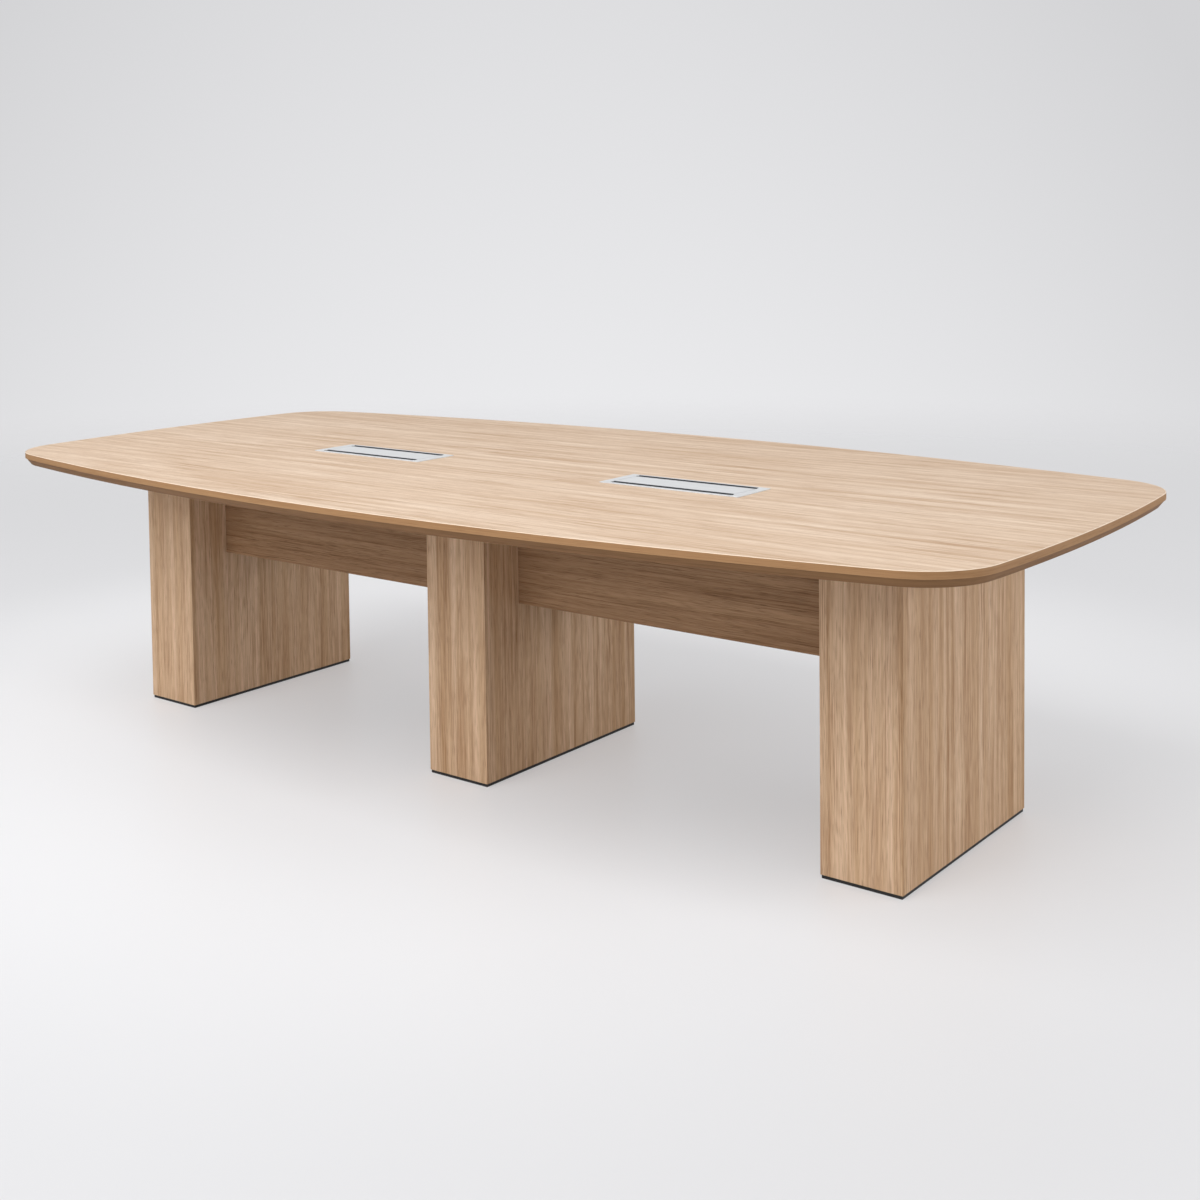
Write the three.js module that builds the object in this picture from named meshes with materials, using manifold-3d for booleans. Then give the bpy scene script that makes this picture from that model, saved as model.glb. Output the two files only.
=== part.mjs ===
// Conference table: a boat-shaped oak laminate top on three slab pedestals,
// tied by stretcher panels, with two flush power boxes that have hinged lids.
// Millimetres, +Z up. The origin is on the floor, under the centre of the top.
// +X runs along the table, +Y across it, towards the lids' hinge side.

import * as THREE from "three";
import { mergeVertices } from "three/addons/utils/BufferGeometryUtils.js";
import Module from "manifold-3d";

// Driving dimensions of the top
const TABLE_LENGTH = 3000;
const TABLE_WIDTH = 1500;
const TABLE_HEIGHT = 750;
const SIDE_BULGE = 163; // each long side bows out this far at mid-length
const END_BULGE = 54; // each end bows out this far on the centre line
const CORNER_RADIUS = 180;
const TOP_BOARD_THICKNESS = 16;
const UNDER_BOARD_THICKNESS = 18;
const BEVEL_RUN = 14; // how far the underside slopes in across the under board
const REVEAL = 1.5; // shadow line between the edge band and the bevel
const EDGE_BAND_THICKNESS = 2;
const EDGE_BAND_ARRIS = 1.6; // rounding of the band's upper edge
const ARRIS_STEPS = 3;
const OUTLINE_DIVISIONS = 8; // each arc of the outline gets twice as many segments

// Driving dimensions of the pedestals
const PEDESTAL_WIDTH = 190; // along the table
const PEDESTAL_DEPTH = 624; // across the table
const END_OVERHANG = 289; // from the end of the top to the outer pedestal
const PANEL_THICKNESS = 18;
const FIXING_BOARD_THICKNESS = 22;
const BASE_BOARD_THICKNESS = 20;
const BASE_EXPOSED = 8; // height of the dark base that shows under the panels
const BASE_RECESS = 2; // how far the dark base stands back from the panels

// Driving dimensions of the levelling feet
const FOOT_DIAMETER = 30;
const FOOT_DISC_THICKNESS = 5;
const FOOT_RIM_CHAMFER = 1.2;
const FOOT_STUD_DIAMETER = 8;
const FOOT_STUD_LENGTH = 34;
const FOOT_LIFT = 0.5; // a foot that is screwed right in clears the floor by this
const FOOT_EDGE_DISTANCE = 49; // from the base board's edge to the foot's axis
const FOOT_POCKET_CLEARANCE = 2; // round the disc
const FOOT_SEGMENTS = 16;

// Driving dimensions of the stretchers and their brackets
const STRETCHER_THICKNESS = 18;
const STRETCHER_HEIGHT = 282;
const STRETCHER_SETBACK = 130; // from the pedestal's narrow face to the stretcher's
const BRACKET_HEIGHT = 90;
const BRACKET_FLANGE = 40;
const BRACKET_THICKNESS = 3;
const BRACKET_DROP = 40; // from the underside of the top to the bracket

// Driving dimensions of the power boxes
const POWER_BOX_SPACING = 1008; // centre to centre
const POWER_BOX_FORWARD = 46; // from the table's centre line, towards the front
const FRAME_LENGTH = 400;
const FRAME_WIDTH = 146;
const FRAME_FLANGE_THICKNESS = 2;
const FRAME_CHAMFER = 0.8;
const FRAME_CORNER_RADIUS = 3;
const SMALL_CORNER_DIVISIONS = 2; // each corner of the frame and lid gets twice as many segments
const COLLAR_WALL = 6;
const COLLAR_DEPTH = 22;
const CUTOUT_CLEARANCE = 2; // between the collar and the hole in the top
const LID_LENGTH = 346;
const LID_WIDTH = 96;
const LID_THICKNESS = 3;
const LID_CORNER_RADIUS = 1.5;
const LID_END_GAP = 2;
const CABLE_SLOT = 11; // open slot along each long side of the lid
const HINGE_PIN_DIAMETER = 4;
const HINGE_INSET = 4; // from the lid's rear edge to the hinge axis
const HINGE_DROP = 6; // from the lid's upper face to the hinge axis
const HINGE_SOCKET_DEPTH = 4; // how far a pin reaches into the collar's end wall
const LID_EAR_LENGTH = 10;
const LID_EAR_FRONT = 5; // from the hinge axis to the front of the ear
const LID_EAR_BELOW_AXIS = 4.5;
const LID_LEDGE_LENGTH = 70;
const LID_LEDGE_WIDTH = 5;
const LID_LEDGE_THICKNESS = 4;
const LID_LEDGE_FRONT = 12; // from the collar's front wall to the ledge
const WELL_WALL = 1.5;
const WELL_DEPTH = 85;
const WELL_OVERLAP = 10; // how far the well reaches up inside the collar
const WELL_OUTLET_LENGTH = 50;
const WELL_OUTLET_WIDTH = 34;
const WELL_OUTLET_INSET = 12; // from the well's front wall and end wall
const HOUSING_LENGTH = 300;
const HOUSING_HEIGHT = 70;
const HOUSING_DEPTH = 36;
const MODULE_RISE = 44; // from the well's floor to the middle of the sockets
const MODULE_HEIGHT = 45;
const MODULE_DEPTH = 20;
const MODULE_PROUD = 1.5;
const MODULE_GAP = 12; // between the socket block and the data block
const SOCKET_COUNT = 3;
const SOCKET_PITCH = 45;
const SOCKET_WELL_DIAMETER = 39;
const SOCKET_WELL_DEPTH = 12;
const SOCKET_PIN_DIAMETER = 5;
const SOCKET_PIN_PITCH = 19;
const SOCKET_PIN_DEPTH = 5;
const SOCKET_SEGMENTS = 24;
const PIN_SEGMENTS = 12;
const DATA_BLOCK_LENGTH = 60;
const DATA_PORT_PITCH = 24;
const DATA_PORT_WIDTH = 14;
const DATA_PORT_HEIGHT = 12;
const DATA_PORT_DEPTH = 11;
const INLET_LENGTH = 24;
const INLET_WIDTH = 30;
const INLET_HEIGHT = 22;
const INLET_WALL = 3;
const INLET_RECESS_DEPTH = 16;
const INLET_RISE = 14; // from the well's floor to the inlet

// Fits
const GAP = 0.3; // between pieces that seat on each other
const MITRE_SETBACK = 0.4; // leaves the glue line in a mitred corner
const TURNING_GAP = 0.3; // round a hinge pin and a foot's stud
const CUT_MARGIN = 5; // how far a cutting body runs past a face
const WELD_DISTANCE = 1e-4; // points closer than this are one point

const wasm = await Module();
wasm.setup();

// Finishes
const finish = (color, roughness, metalness = 0) =>
  new THREE.MeshStandardMaterial({ color, roughness, metalness });
const OAK_TOP = finish(0xdcc0a0, 0.5);
const OAK_EDGE = finish(0xa98259, 0.5);
const OAK_PANEL = finish(0xa98b6b, 0.55);
const BLACK_BASE = finish(0x1b1a19, 0.7);
const RAW_BOARD = finish(0xb59a78, 0.8);
const BLACK_PLASTIC = finish(0x202122, 0.55);
const PALE_PLASTIC = finish(0xd9d9d6, 0.4);
const SILVER = finish(0xc9cdd0, 0.35, 0.9);
const STEEL = finish(0x9a9da0, 0.4, 1);
const DARK_STEEL = finish(0x3a3c3e, 0.5, 0.6);

// Solids that are cut and joined, and back to geometry

function solidOf(geometry) {
  const bare = geometry.clone();
  for (const name of Object.keys(bare.attributes)) {
    if (name !== "position") bare.deleteAttribute(name);
  }
  const merged = mergeVertices(bare, WELD_DISTANCE);
  return new wasm.Manifold(
    new wasm.Mesh({
      numProp: 3,
      vertProperties: new Float32Array(merged.attributes.position.array),
      triVerts: new Uint32Array(merged.index.array),
    }),
  );
}

function geometryOf(solid) {
  const mesh = solid.getMesh();
  const geometry = new THREE.BufferGeometry();
  geometry.setAttribute("position", new THREE.BufferAttribute(mesh.vertProperties, 3));
  geometry.setIndex(new THREE.BufferAttribute(mesh.triVerts, 1));
  geometry.computeVertexNormals();
  return geometry;
}

// A block from two opposite corners.
function block(corner, opposite) {
  const size = corner.map((value, axis) => Math.abs(opposite[axis] - value));
  const centre = corner.map((value, axis) => (opposite[axis] + value) / 2);
  return new THREE.BoxGeometry(...size).translate(...centre);
}

// A round bar along an axis, centred on a point.
function bar(axis, centre, diameter, length, segments) {
  const geometry = new THREE.CylinderGeometry(diameter / 2, diameter / 2, length, segments);
  if (axis === "x") geometry.rotateZ(Math.PI / 2);
  if (axis === "z") geometry.rotateX(Math.PI / 2);
  return geometry.translate(...centre);
}

function cut(geometry, ...tools) {
  return geometryOf(tools.reduce((solid, tool) => solid.subtract(solidOf(tool)), solidOf(geometry)));
}

function join(geometry, ...others) {
  return geometryOf(others.reduce((solid, other) => solid.add(solidOf(other)), solidOf(geometry)));
}

function piece(name, geometry, material) {
  const mesh = new THREE.Mesh(geometry, material);
  mesh.name = name;
  return mesh;
}

// A rectangle with round corners, centred on the origin.
function roundedRectangle(length, width, radius) {
  const x = length / 2;
  const y = width / 2;
  return new THREE.Shape()
    .moveTo(x, -y + radius)
    .absarc(x - radius, y - radius, radius, 0, Math.PI / 2)
    .absarc(-x + radius, y - radius, radius, Math.PI / 2, Math.PI)
    .absarc(-x + radius, -y + radius, radius, Math.PI, 1.5 * Math.PI)
    .absarc(x - radius, -y + radius, radius, 1.5 * Math.PI, 2 * Math.PI);
}

// Joins outlines of equal point counts, one above the other, into a closed body.
// A ring is { points, z }. With hollow set, the last ring joins the first instead of
// both ends being capped, which makes a band that runs round the outline.
function loft(rings, hollow = false) {
  const count = rings[0].points.length;
  const positions = rings.flatMap(({ points, z }) => points.flatMap((p) => [p.x, p.y, z]));
  const faces = [];
  const layers = hollow ? rings.length : rings.length - 1;
  for (let layer = 0; layer < layers; layer++) {
    const low = layer * count;
    const high = ((layer + 1) % rings.length) * count;
    for (let i = 0; i < count; i++) {
      const next = (i + 1) % count;
      faces.push(low + i, low + next, high + next, low + i, high + next, high + i);
    }
  }
  if (!hollow) {
    const top = (rings.length - 1) * count;
    for (const [a, b, c] of THREE.ShapeUtils.triangulateShape(rings[0].points, [])) {
      faces.push(a, c, b, top + a, top + b, top + c);
    }
  }
  const geometry = new THREE.BufferGeometry();
  geometry.setAttribute("position", new THREE.Float32BufferAttribute(positions, 3));
  geometry.setIndex(faces);
  geometry.computeVertexNormals();
  return geometry;
}

// Outline points of a shape, each of them once.
function outlinePoints(shape, divisions) {
  const points = shape.getPoints(divisions);
  return points.filter((point, i) => point.distanceTo(points.at(i - 1)) > WELD_DISTANCE);
}

// Outline of the top: a shallow arc along each side and each end, with round corners
// tangent to both. All the arcs keep their centres when the outline is inset.

function arcRadius(halfChord, bulge) {
  return (halfChord * halfChord + bulge * bulge) / (2 * bulge);
}

function topArcs() {
  const halfLength = TABLE_LENGTH / 2;
  const halfWidth = TABLE_WIDTH / 2;
  const sideRadius = arcRadius(halfLength, SIDE_BULGE);
  const endRadius = arcRadius(halfWidth, END_BULGE);
  const sideCentre = new THREE.Vector2(0, halfWidth - sideRadius);
  const endCentre = new THREE.Vector2(halfLength - endRadius, 0);
  // The corner's centre lies this far from the two other centres, so it is where two
  // circles cross.
  const fromSide = sideRadius - CORNER_RADIUS;
  const fromEnd = endRadius - CORNER_RADIUS;
  const between = endCentre.clone().sub(sideCentre);
  const distance = between.length();
  const along = (fromSide ** 2 - fromEnd ** 2 + distance ** 2) / (2 * distance);
  const aside = Math.sqrt(fromSide ** 2 - along ** 2);
  const unit = between.clone().divideScalar(distance);
  const cornerCentre = sideCentre
    .clone()
    .addScaledVector(unit, along)
    .addScaledVector(new THREE.Vector2(unit.y, -unit.x), aside);
  return {
    sideRadius,
    endRadius,
    sideCentre,
    endCentre,
    cornerCentre,
    endAngle: cornerCentre.clone().sub(endCentre).angle(),
    sideAngle: cornerCentre.clone().sub(sideCentre).angle(),
  };
}

const TOP_ARCS = topArcs();

function topOutline(inset) {
  const { sideRadius, endRadius, sideCentre, endCentre, cornerCentre, endAngle, sideAngle } = TOP_ARCS;
  const side = sideRadius - inset;
  const end = endRadius - inset;
  const corner = CORNER_RADIUS - inset;
  const { x: cx, y: cy } = cornerCentre;
  const half = Math.PI;
  const shape = new THREE.Shape();
  shape.absarc(endCentre.x, 0, end, -endAngle, endAngle);
  shape.absarc(cx, cy, corner, endAngle, sideAngle);
  shape.absarc(0, sideCentre.y, side, sideAngle, half - sideAngle);
  shape.absarc(-cx, cy, corner, half - sideAngle, half - endAngle);
  shape.absarc(-endCentre.x, 0, end, half - endAngle, half + endAngle);
  shape.absarc(-cx, -cy, corner, half + endAngle, half + sideAngle);
  shape.absarc(0, -sideCentre.y, side, half + sideAngle, 2 * half - sideAngle);
  shape.absarc(cx, -cy, corner, 2 * half - sideAngle, 2 * half - endAngle);
  return outlinePoints(shape, OUTLINE_DIVISIONS);
}

// Places that several pieces share
const UNDERSIDE = TABLE_HEIGHT - TOP_BOARD_THICKNESS - UNDER_BOARD_THICKNESS;
const OUTER_PEDESTAL_X = TABLE_LENGTH / 2 - END_OVERHANG - PEDESTAL_WIDTH / 2;
const FRAME_TOP = TABLE_HEIGHT + FRAME_FLANGE_THICKNESS;
const WINDOW_LENGTH = LID_LENGTH + 2 * LID_END_GAP;
const WINDOW_WIDTH = LID_WIDTH + 2 * CABLE_SLOT;
const COLLAR_LENGTH = WINDOW_LENGTH + 2 * COLLAR_WALL;
const COLLAR_WIDTH = WINDOW_WIDTH + 2 * COLLAR_WALL;
const COLLAR_BOTTOM = TABLE_HEIGHT - COLLAR_DEPTH;
const HINGE_Y = LID_WIDTH / 2 - HINGE_INSET;
const HINGE_Z = FRAME_TOP - HINGE_DROP;
const POWER_BOX_PLACES = { left: -POWER_BOX_SPACING / 2, right: POWER_BOX_SPACING / 2 };
const PEDESTAL_PLACES = { left: -OUTER_PEDESTAL_X, middle: 0, right: OUTER_PEDESTAL_X };

// Top: an upper board with a banded edge, doubled by an under board whose edge is
// bevelled all round. Both are cut out for the power boxes.

function powerCutouts(low, high) {
  const halfLength = COLLAR_LENGTH / 2 + CUTOUT_CLEARANCE;
  const halfWidth = COLLAR_WIDTH / 2 + CUTOUT_CLEARANCE;
  return Object.values(POWER_BOX_PLACES).map((x) =>
    block(
      [x - halfLength, -POWER_BOX_FORWARD - halfWidth, low - CUT_MARGIN],
      [x + halfLength, -POWER_BOX_FORWARD + halfWidth, high + CUT_MARGIN],
    ),
  );
}

function topBoard() {
  const points = topOutline(EDGE_BAND_THICKNESS + GAP);
  const low = TABLE_HEIGHT - TOP_BOARD_THICKNESS;
  const slab = loft([
    { points, z: low },
    { points, z: TABLE_HEIGHT },
  ]);
  return cut(slab, ...powerCutouts(low, TABLE_HEIGHT));
}

function edgeBand() {
  const low = TABLE_HEIGHT - TOP_BOARD_THICKNESS;
  const rings = [
    { points: topOutline(EDGE_BAND_THICKNESS), z: low },
    { points: topOutline(0), z: low },
  ];
  for (let step = 0; step <= ARRIS_STEPS; step++) {
    const angle = (step / ARRIS_STEPS) * (Math.PI / 2);
    rings.push({
      points: topOutline(EDGE_BAND_ARRIS * (1 - Math.cos(angle))),
      z: TABLE_HEIGHT - EDGE_BAND_ARRIS * (1 - Math.sin(angle)),
    });
  }
  rings.push({ points: topOutline(EDGE_BAND_THICKNESS), z: TABLE_HEIGHT });
  return loft(rings, true);
}

function underBoard() {
  const high = TABLE_HEIGHT - TOP_BOARD_THICKNESS;
  const slab = loft([
    { points: topOutline(REVEAL + BEVEL_RUN), z: UNDERSIDE },
    { points: topOutline(REVEAL), z: high },
  ]);
  return cut(slab, ...powerCutouts(UNDERSIDE, high));
}

function buildTop() {
  const top = new THREE.Group();
  top.add(piece("top_board", topBoard(), OAK_TOP));
  top.add(piece("edge_band", edgeBand(), OAK_EDGE));
  top.add(piece("under_board", underBoard(), OAK_EDGE));
  return top;
}

// Pedestal: four mitred panels round a fixing board at the top and a rebated base
// board that the panels stand on. Four levelling feet screw into the base board.

// A panel whose outer face runs along +X at the given distance, with mitred ends.
function mitredPanel(halfLength, outerFace, setback) {
  const inner = outerFace - PANEL_THICKNESS;
  const outerEnd = halfLength - setback;
  const innerEnd = outerEnd - PANEL_THICKNESS;
  const section = new THREE.Shape()
    .moveTo(outerFace, -outerEnd)
    .lineTo(outerFace, outerEnd)
    .lineTo(inner, innerEnd)
    .lineTo(inner, -innerEnd)
    .closePath();
  const depth = UNDERSIDE - BASE_EXPOSED;
  return new THREE.ExtrudeGeometry(section, { depth, bevelEnabled: false });
}

const footPlaces = () => {
  const x = PEDESTAL_WIDTH / 2 - BASE_RECESS - FOOT_EDGE_DISTANCE;
  const y = PEDESTAL_DEPTH / 2 - BASE_RECESS - FOOT_EDGE_DISTANCE;
  return {
    front_left: [-x, -y],
    front_right: [x, -y],
    back_left: [-x, y],
    back_right: [x, y],
  };
};

function baseBoard() {
  const lowX = PEDESTAL_WIDTH / 2 - BASE_RECESS;
  const lowY = PEDESTAL_DEPTH / 2 - BASE_RECESS;
  const highX = PEDESTAL_WIDTH / 2 - PANEL_THICKNESS - GAP;
  const highY = PEDESTAL_DEPTH / 2 - PANEL_THICKNESS - GAP;
  const foot = block([-lowX, -lowY, 0], [lowX, lowY, BASE_EXPOSED]);
  const core = block([-highX, -highY, 0], [highX, highY, BASE_BOARD_THICKNESS]);
  const pocketDiameter = FOOT_DIAMETER + 2 * FOOT_POCKET_CLEARANCE;
  const pocketDepth = FOOT_LIFT + FOOT_DISC_THICKNESS + GAP;
  const holeDiameter = FOOT_STUD_DIAMETER + 2 * TURNING_GAP;
  const holeLength = 2 * (BASE_BOARD_THICKNESS + CUT_MARGIN);
  const tools = Object.values(footPlaces()).flatMap(([x, y]) => [
    bar("z", [x, y, 0], pocketDiameter, 2 * pocketDepth, FOOT_SEGMENTS),
    bar("z", [x, y, 0], holeDiameter, holeLength, FOOT_SEGMENTS),
  ]);
  return cut(join(foot, core), ...tools);
}

function fixingBoard() {
  const x = PEDESTAL_WIDTH / 2 - PANEL_THICKNESS - GAP;
  const y = PEDESTAL_DEPTH / 2 - PANEL_THICKNESS - GAP;
  return block([-x, -y, UNDERSIDE - FIXING_BOARD_THICKNESS], [x, y, UNDERSIDE]);
}

function levellingFoot() {
  const radius = FOOT_DIAMETER / 2;
  const stud = FOOT_STUD_DIAMETER / 2;
  const profile = [
    [0, 0],
    [radius - FOOT_RIM_CHAMFER, 0],
    [radius, FOOT_RIM_CHAMFER],
    [radius, FOOT_DISC_THICKNESS],
    [stud, FOOT_DISC_THICKNESS],
    [stud, FOOT_DISC_THICKNESS + FOOT_STUD_LENGTH],
    [0, FOOT_DISC_THICKNESS + FOOT_STUD_LENGTH],
  ].map(([r, z]) => new THREE.Vector2(r, z));
  return new THREE.LatheGeometry(profile, FOOT_SEGMENTS).rotateX(Math.PI / 2);
}

function buildPedestal(side) {
  const pedestal = new THREE.Group();
  pedestal.position.x = PEDESTAL_PLACES[side];
  const halfWidth = PEDESTAL_WIDTH / 2;
  const halfDepth = PEDESTAL_DEPTH / 2;
  const wide = mitredPanel(halfDepth, halfWidth, MITRE_SETBACK);
  const narrow = mitredPanel(halfWidth, halfDepth, 0);
  const panels = {
    right_panel: [wide, 0],
    back_panel: [narrow, Math.PI / 2],
    left_panel: [wide, Math.PI],
    front_panel: [narrow, -Math.PI / 2],
  };
  for (const [name, [geometry, turn]] of Object.entries(panels)) {
    const panel = piece(`${side}_pedestal_${name}`, geometry, OAK_PANEL);
    panel.position.z = BASE_EXPOSED;
    panel.rotation.z = turn;
    pedestal.add(panel);
  }
  pedestal.add(piece(`${side}_pedestal_fixing_board`, fixingBoard(), RAW_BOARD));
  pedestal.add(piece(`${side}_pedestal_base_board`, baseBoard(), BLACK_BASE));
  for (const [corner, [x, y]] of Object.entries(footPlaces())) {
    const foot = piece(`${side}_foot_${corner}`, levellingFoot(), BLACK_PLASTIC);
    foot.position.set(x, y, FOOT_LIFT);
    pedestal.add(foot);
  }
  return pedestal;
}

// Stretchers: a pair of panels in each bay, hung from the underside of the top and
// held to the pedestals by bent steel brackets.

const BAY_START = PEDESTAL_WIDTH / 2;
const BAY_END = OUTER_PEDESTAL_X - PEDESTAL_WIDTH / 2;
const STRETCHER_OUTER_Y = PEDESTAL_DEPTH / 2 - STRETCHER_SETBACK;
const STRETCHER_INNER_Y = STRETCHER_OUTER_Y - STRETCHER_THICKNESS;

// Sides are -1 for left or front and +1 for right or back.
function stretcherPanel(lengthSide, depthSide) {
  return block(
    [lengthSide * (BAY_START + GAP), depthSide * STRETCHER_INNER_Y, UNDERSIDE - STRETCHER_HEIGHT],
    [lengthSide * (BAY_END - GAP), depthSide * STRETCHER_OUTER_Y, UNDERSIDE],
  );
}

// A U-shaped bracket whose back lies on a pedestal and whose flanges run along +X.
function stretcherBracket() {
  const outer = STRETCHER_INNER_Y - GAP;
  const inner = outer - BRACKET_THICKNESS;
  const section = new THREE.Shape()
    .moveTo(0, -outer)
    .lineTo(BRACKET_FLANGE, -outer)
    .lineTo(BRACKET_FLANGE, -inner)
    .lineTo(BRACKET_THICKNESS, -inner)
    .lineTo(BRACKET_THICKNESS, inner)
    .lineTo(BRACKET_FLANGE, inner)
    .lineTo(BRACKET_FLANGE, outer)
    .lineTo(0, outer)
    .closePath();
  return new THREE.ExtrudeGeometry(section, { depth: BRACKET_HEIGHT, bevelEnabled: false });
}

function buildBay(side) {
  const bay = new THREE.Group();
  const lengthSide = side === "left" ? -1 : 1;
  for (const [row, depthSide] of [["front", -1], ["back", 1]]) {
    bay.add(piece(`${side}_${row}_stretcher`, stretcherPanel(lengthSide, depthSide), OAK_PANEL));
  }
  for (const [end, distance, facing] of [
    ["inner", BAY_START + GAP, lengthSide],
    ["outer", BAY_END - GAP, -lengthSide],
  ]) {
    const bracket = piece(`${side}_bay_${end}_bracket`, stretcherBracket(), STEEL);
    bracket.position.set(lengthSide * distance, 0, UNDERSIDE - BRACKET_DROP - BRACKET_HEIGHT);
    bracket.rotation.z = facing > 0 ? 0 : Math.PI;
    bay.add(bracket);
  }
  return bay;
}

// Power box: a flanged frame let into the top, a lid hinged on two pins in the frame's
// end walls, and a sheet steel well with a socket housing along its back.

function powerFrame() {
  const edge = (inset, z) => ({
    points: outlinePoints(
      roundedRectangle(FRAME_LENGTH - 2 * inset, FRAME_WIDTH - 2 * inset, FRAME_CORNER_RADIUS - inset),
      SMALL_CORNER_DIVISIONS,
    ),
    z,
  });
  const flange = loft([
    edge(0, TABLE_HEIGHT),
    edge(0, FRAME_TOP - FRAME_CHAMFER),
    edge(FRAME_CHAMFER, FRAME_TOP),
  ]);
  const collar = block(
    [-COLLAR_LENGTH / 2, -COLLAR_WIDTH / 2, COLLAR_BOTTOM],
    [COLLAR_LENGTH / 2, COLLAR_WIDTH / 2, FRAME_TOP - FRAME_CHAMFER],
  );
  const opening = block(
    [-WINDOW_LENGTH / 2, -WINDOW_WIDTH / 2, COLLAR_BOTTOM - CUT_MARGIN],
    [WINDOW_LENGTH / 2, WINDOW_WIDTH / 2, FRAME_TOP + CUT_MARGIN],
  );
  const holeDiameter = HINGE_PIN_DIAMETER + 2 * TURNING_GAP;
  const holeLength = WINDOW_LENGTH + 2 * (HINGE_SOCKET_DEPTH + GAP);
  const pinHoles = bar("x", [0, HINGE_Y, HINGE_Z], holeDiameter, holeLength, PIN_SEGMENTS);
  const ledgeTop = FRAME_TOP - LID_THICKNESS - GAP;
  const ledgeFront = -WINDOW_WIDTH / 2 + LID_LEDGE_FRONT;
  const ledges = [-1, 1].map((end) =>
    block(
      [end * (WINDOW_LENGTH / 2 - LID_LEDGE_WIDTH), ledgeFront, ledgeTop - LID_LEDGE_THICKNESS],
      [end * (WINDOW_LENGTH / 2 + COLLAR_WALL / 2), ledgeFront + LID_LEDGE_LENGTH, ledgeTop],
    ),
  );
  return join(cut(join(flange, collar), opening, pinHoles), ...ledges);
}

function powerLid() {
  const shape = roundedRectangle(LID_LENGTH, LID_WIDTH, LID_CORNER_RADIUS);
  const points = outlinePoints(shape, SMALL_CORNER_DIVISIONS);
  const plate = loft([
    { points, z: FRAME_TOP - LID_THICKNESS },
    { points, z: FRAME_TOP },
  ]);
  const earTop = FRAME_TOP - LID_THICKNESS / 2;
  const ears = [-1, 1].map((end) =>
    block(
      [end * (LID_LENGTH / 2 - LID_CORNER_RADIUS), HINGE_Y - LID_EAR_FRONT, HINGE_Z - LID_EAR_BELOW_AXIS],
      [end * (LID_LENGTH / 2 - LID_CORNER_RADIUS - LID_EAR_LENGTH), LID_WIDTH / 2, earTop],
    ),
  );
  const holeDiameter = HINGE_PIN_DIAMETER + 2 * TURNING_GAP;
  const pinHole = bar("x", [0, HINGE_Y, HINGE_Z], holeDiameter, LID_LENGTH, PIN_SEGMENTS);
  return cut(join(plate, ...ears), pinHole);
}

function hingePin(end) {
  const inner = LID_LENGTH / 2 - LID_CORNER_RADIUS - LID_EAR_LENGTH;
  const outer = WINDOW_LENGTH / 2 + HINGE_SOCKET_DEPTH;
  const centre = [(end * (inner + outer)) / 2, HINGE_Y, HINGE_Z];
  return bar("x", centre, HINGE_PIN_DIAMETER, outer - inner, PIN_SEGMENTS);
}

// The well slips into the collar from below. Its floor has two cable outlets in front.
const WELL_HALF_LENGTH = WINDOW_LENGTH / 2 - GAP;
const WELL_HALF_WIDTH = WINDOW_WIDTH / 2 - GAP;
const WELL_TOP = COLLAR_BOTTOM + WELL_OVERLAP;
const WELL_BOTTOM = WELL_TOP - WELL_DEPTH;
const WELL_FLOOR = WELL_BOTTOM + WELL_WALL;

function powerWell() {
  const shell = block(
    [-WELL_HALF_LENGTH, -WELL_HALF_WIDTH, WELL_BOTTOM],
    [WELL_HALF_LENGTH, WELL_HALF_WIDTH, WELL_TOP],
  );
  const innerX = WELL_HALF_LENGTH - WELL_WALL;
  const innerY = WELL_HALF_WIDTH - WELL_WALL;
  const space = block([-innerX, -innerY, WELL_FLOOR], [innerX, innerY, WELL_TOP + CUT_MARGIN]);
  const outletX = innerX - WELL_OUTLET_INSET;
  const outletY = -innerY + WELL_OUTLET_INSET;
  const outlets = [-1, 1].map((end) =>
    block(
      [end * outletX, outletY, WELL_BOTTOM - CUT_MARGIN],
      [end * (outletX - WELL_OUTLET_LENGTH), outletY + WELL_OUTLET_WIDTH, WELL_FLOOR + CUT_MARGIN],
    ),
  );
  return cut(shell, space, ...outlets);
}

// The housing stands along the well's back wall, and its sockets face the front.
const HOUSING_BACK = WELL_HALF_WIDTH - WELL_WALL - GAP;
const HOUSING_FACE = HOUSING_BACK - HOUSING_DEPTH;
const SOCKET_BLOCK_LENGTH = SOCKET_COUNT * SOCKET_PITCH;
const MODULES_LENGTH = SOCKET_BLOCK_LENGTH + MODULE_GAP + DATA_BLOCK_LENGTH;
const SOCKET_BLOCK_X = (SOCKET_BLOCK_LENGTH - MODULES_LENGTH) / 2;
const DATA_BLOCK_X = (MODULES_LENGTH - DATA_BLOCK_LENGTH) / 2;

// Stands a body that is drawn lying down, facing up, in the housing's face.
function intoFace(geometry, x) {
  return geometry.rotateX(Math.PI / 2).translate(x, HOUSING_FACE, WELL_FLOOR + MODULE_RISE);
}

function moduleBody(length, clearance, high) {
  const x = length / 2 + clearance;
  const y = MODULE_HEIGHT / 2 + clearance;
  return block([-x, -y, -MODULE_DEPTH - clearance], [x, y, high]);
}

function socketHousing() {
  const body = block(
    [-HOUSING_LENGTH / 2, HOUSING_FACE, WELL_FLOOR],
    [HOUSING_LENGTH / 2, HOUSING_BACK, WELL_FLOOR + HOUSING_HEIGHT],
  );
  return cut(
    body,
    intoFace(moduleBody(SOCKET_BLOCK_LENGTH, GAP, CUT_MARGIN), SOCKET_BLOCK_X),
    intoFace(moduleBody(DATA_BLOCK_LENGTH, GAP, CUT_MARGIN), DATA_BLOCK_X),
  );
}

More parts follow.
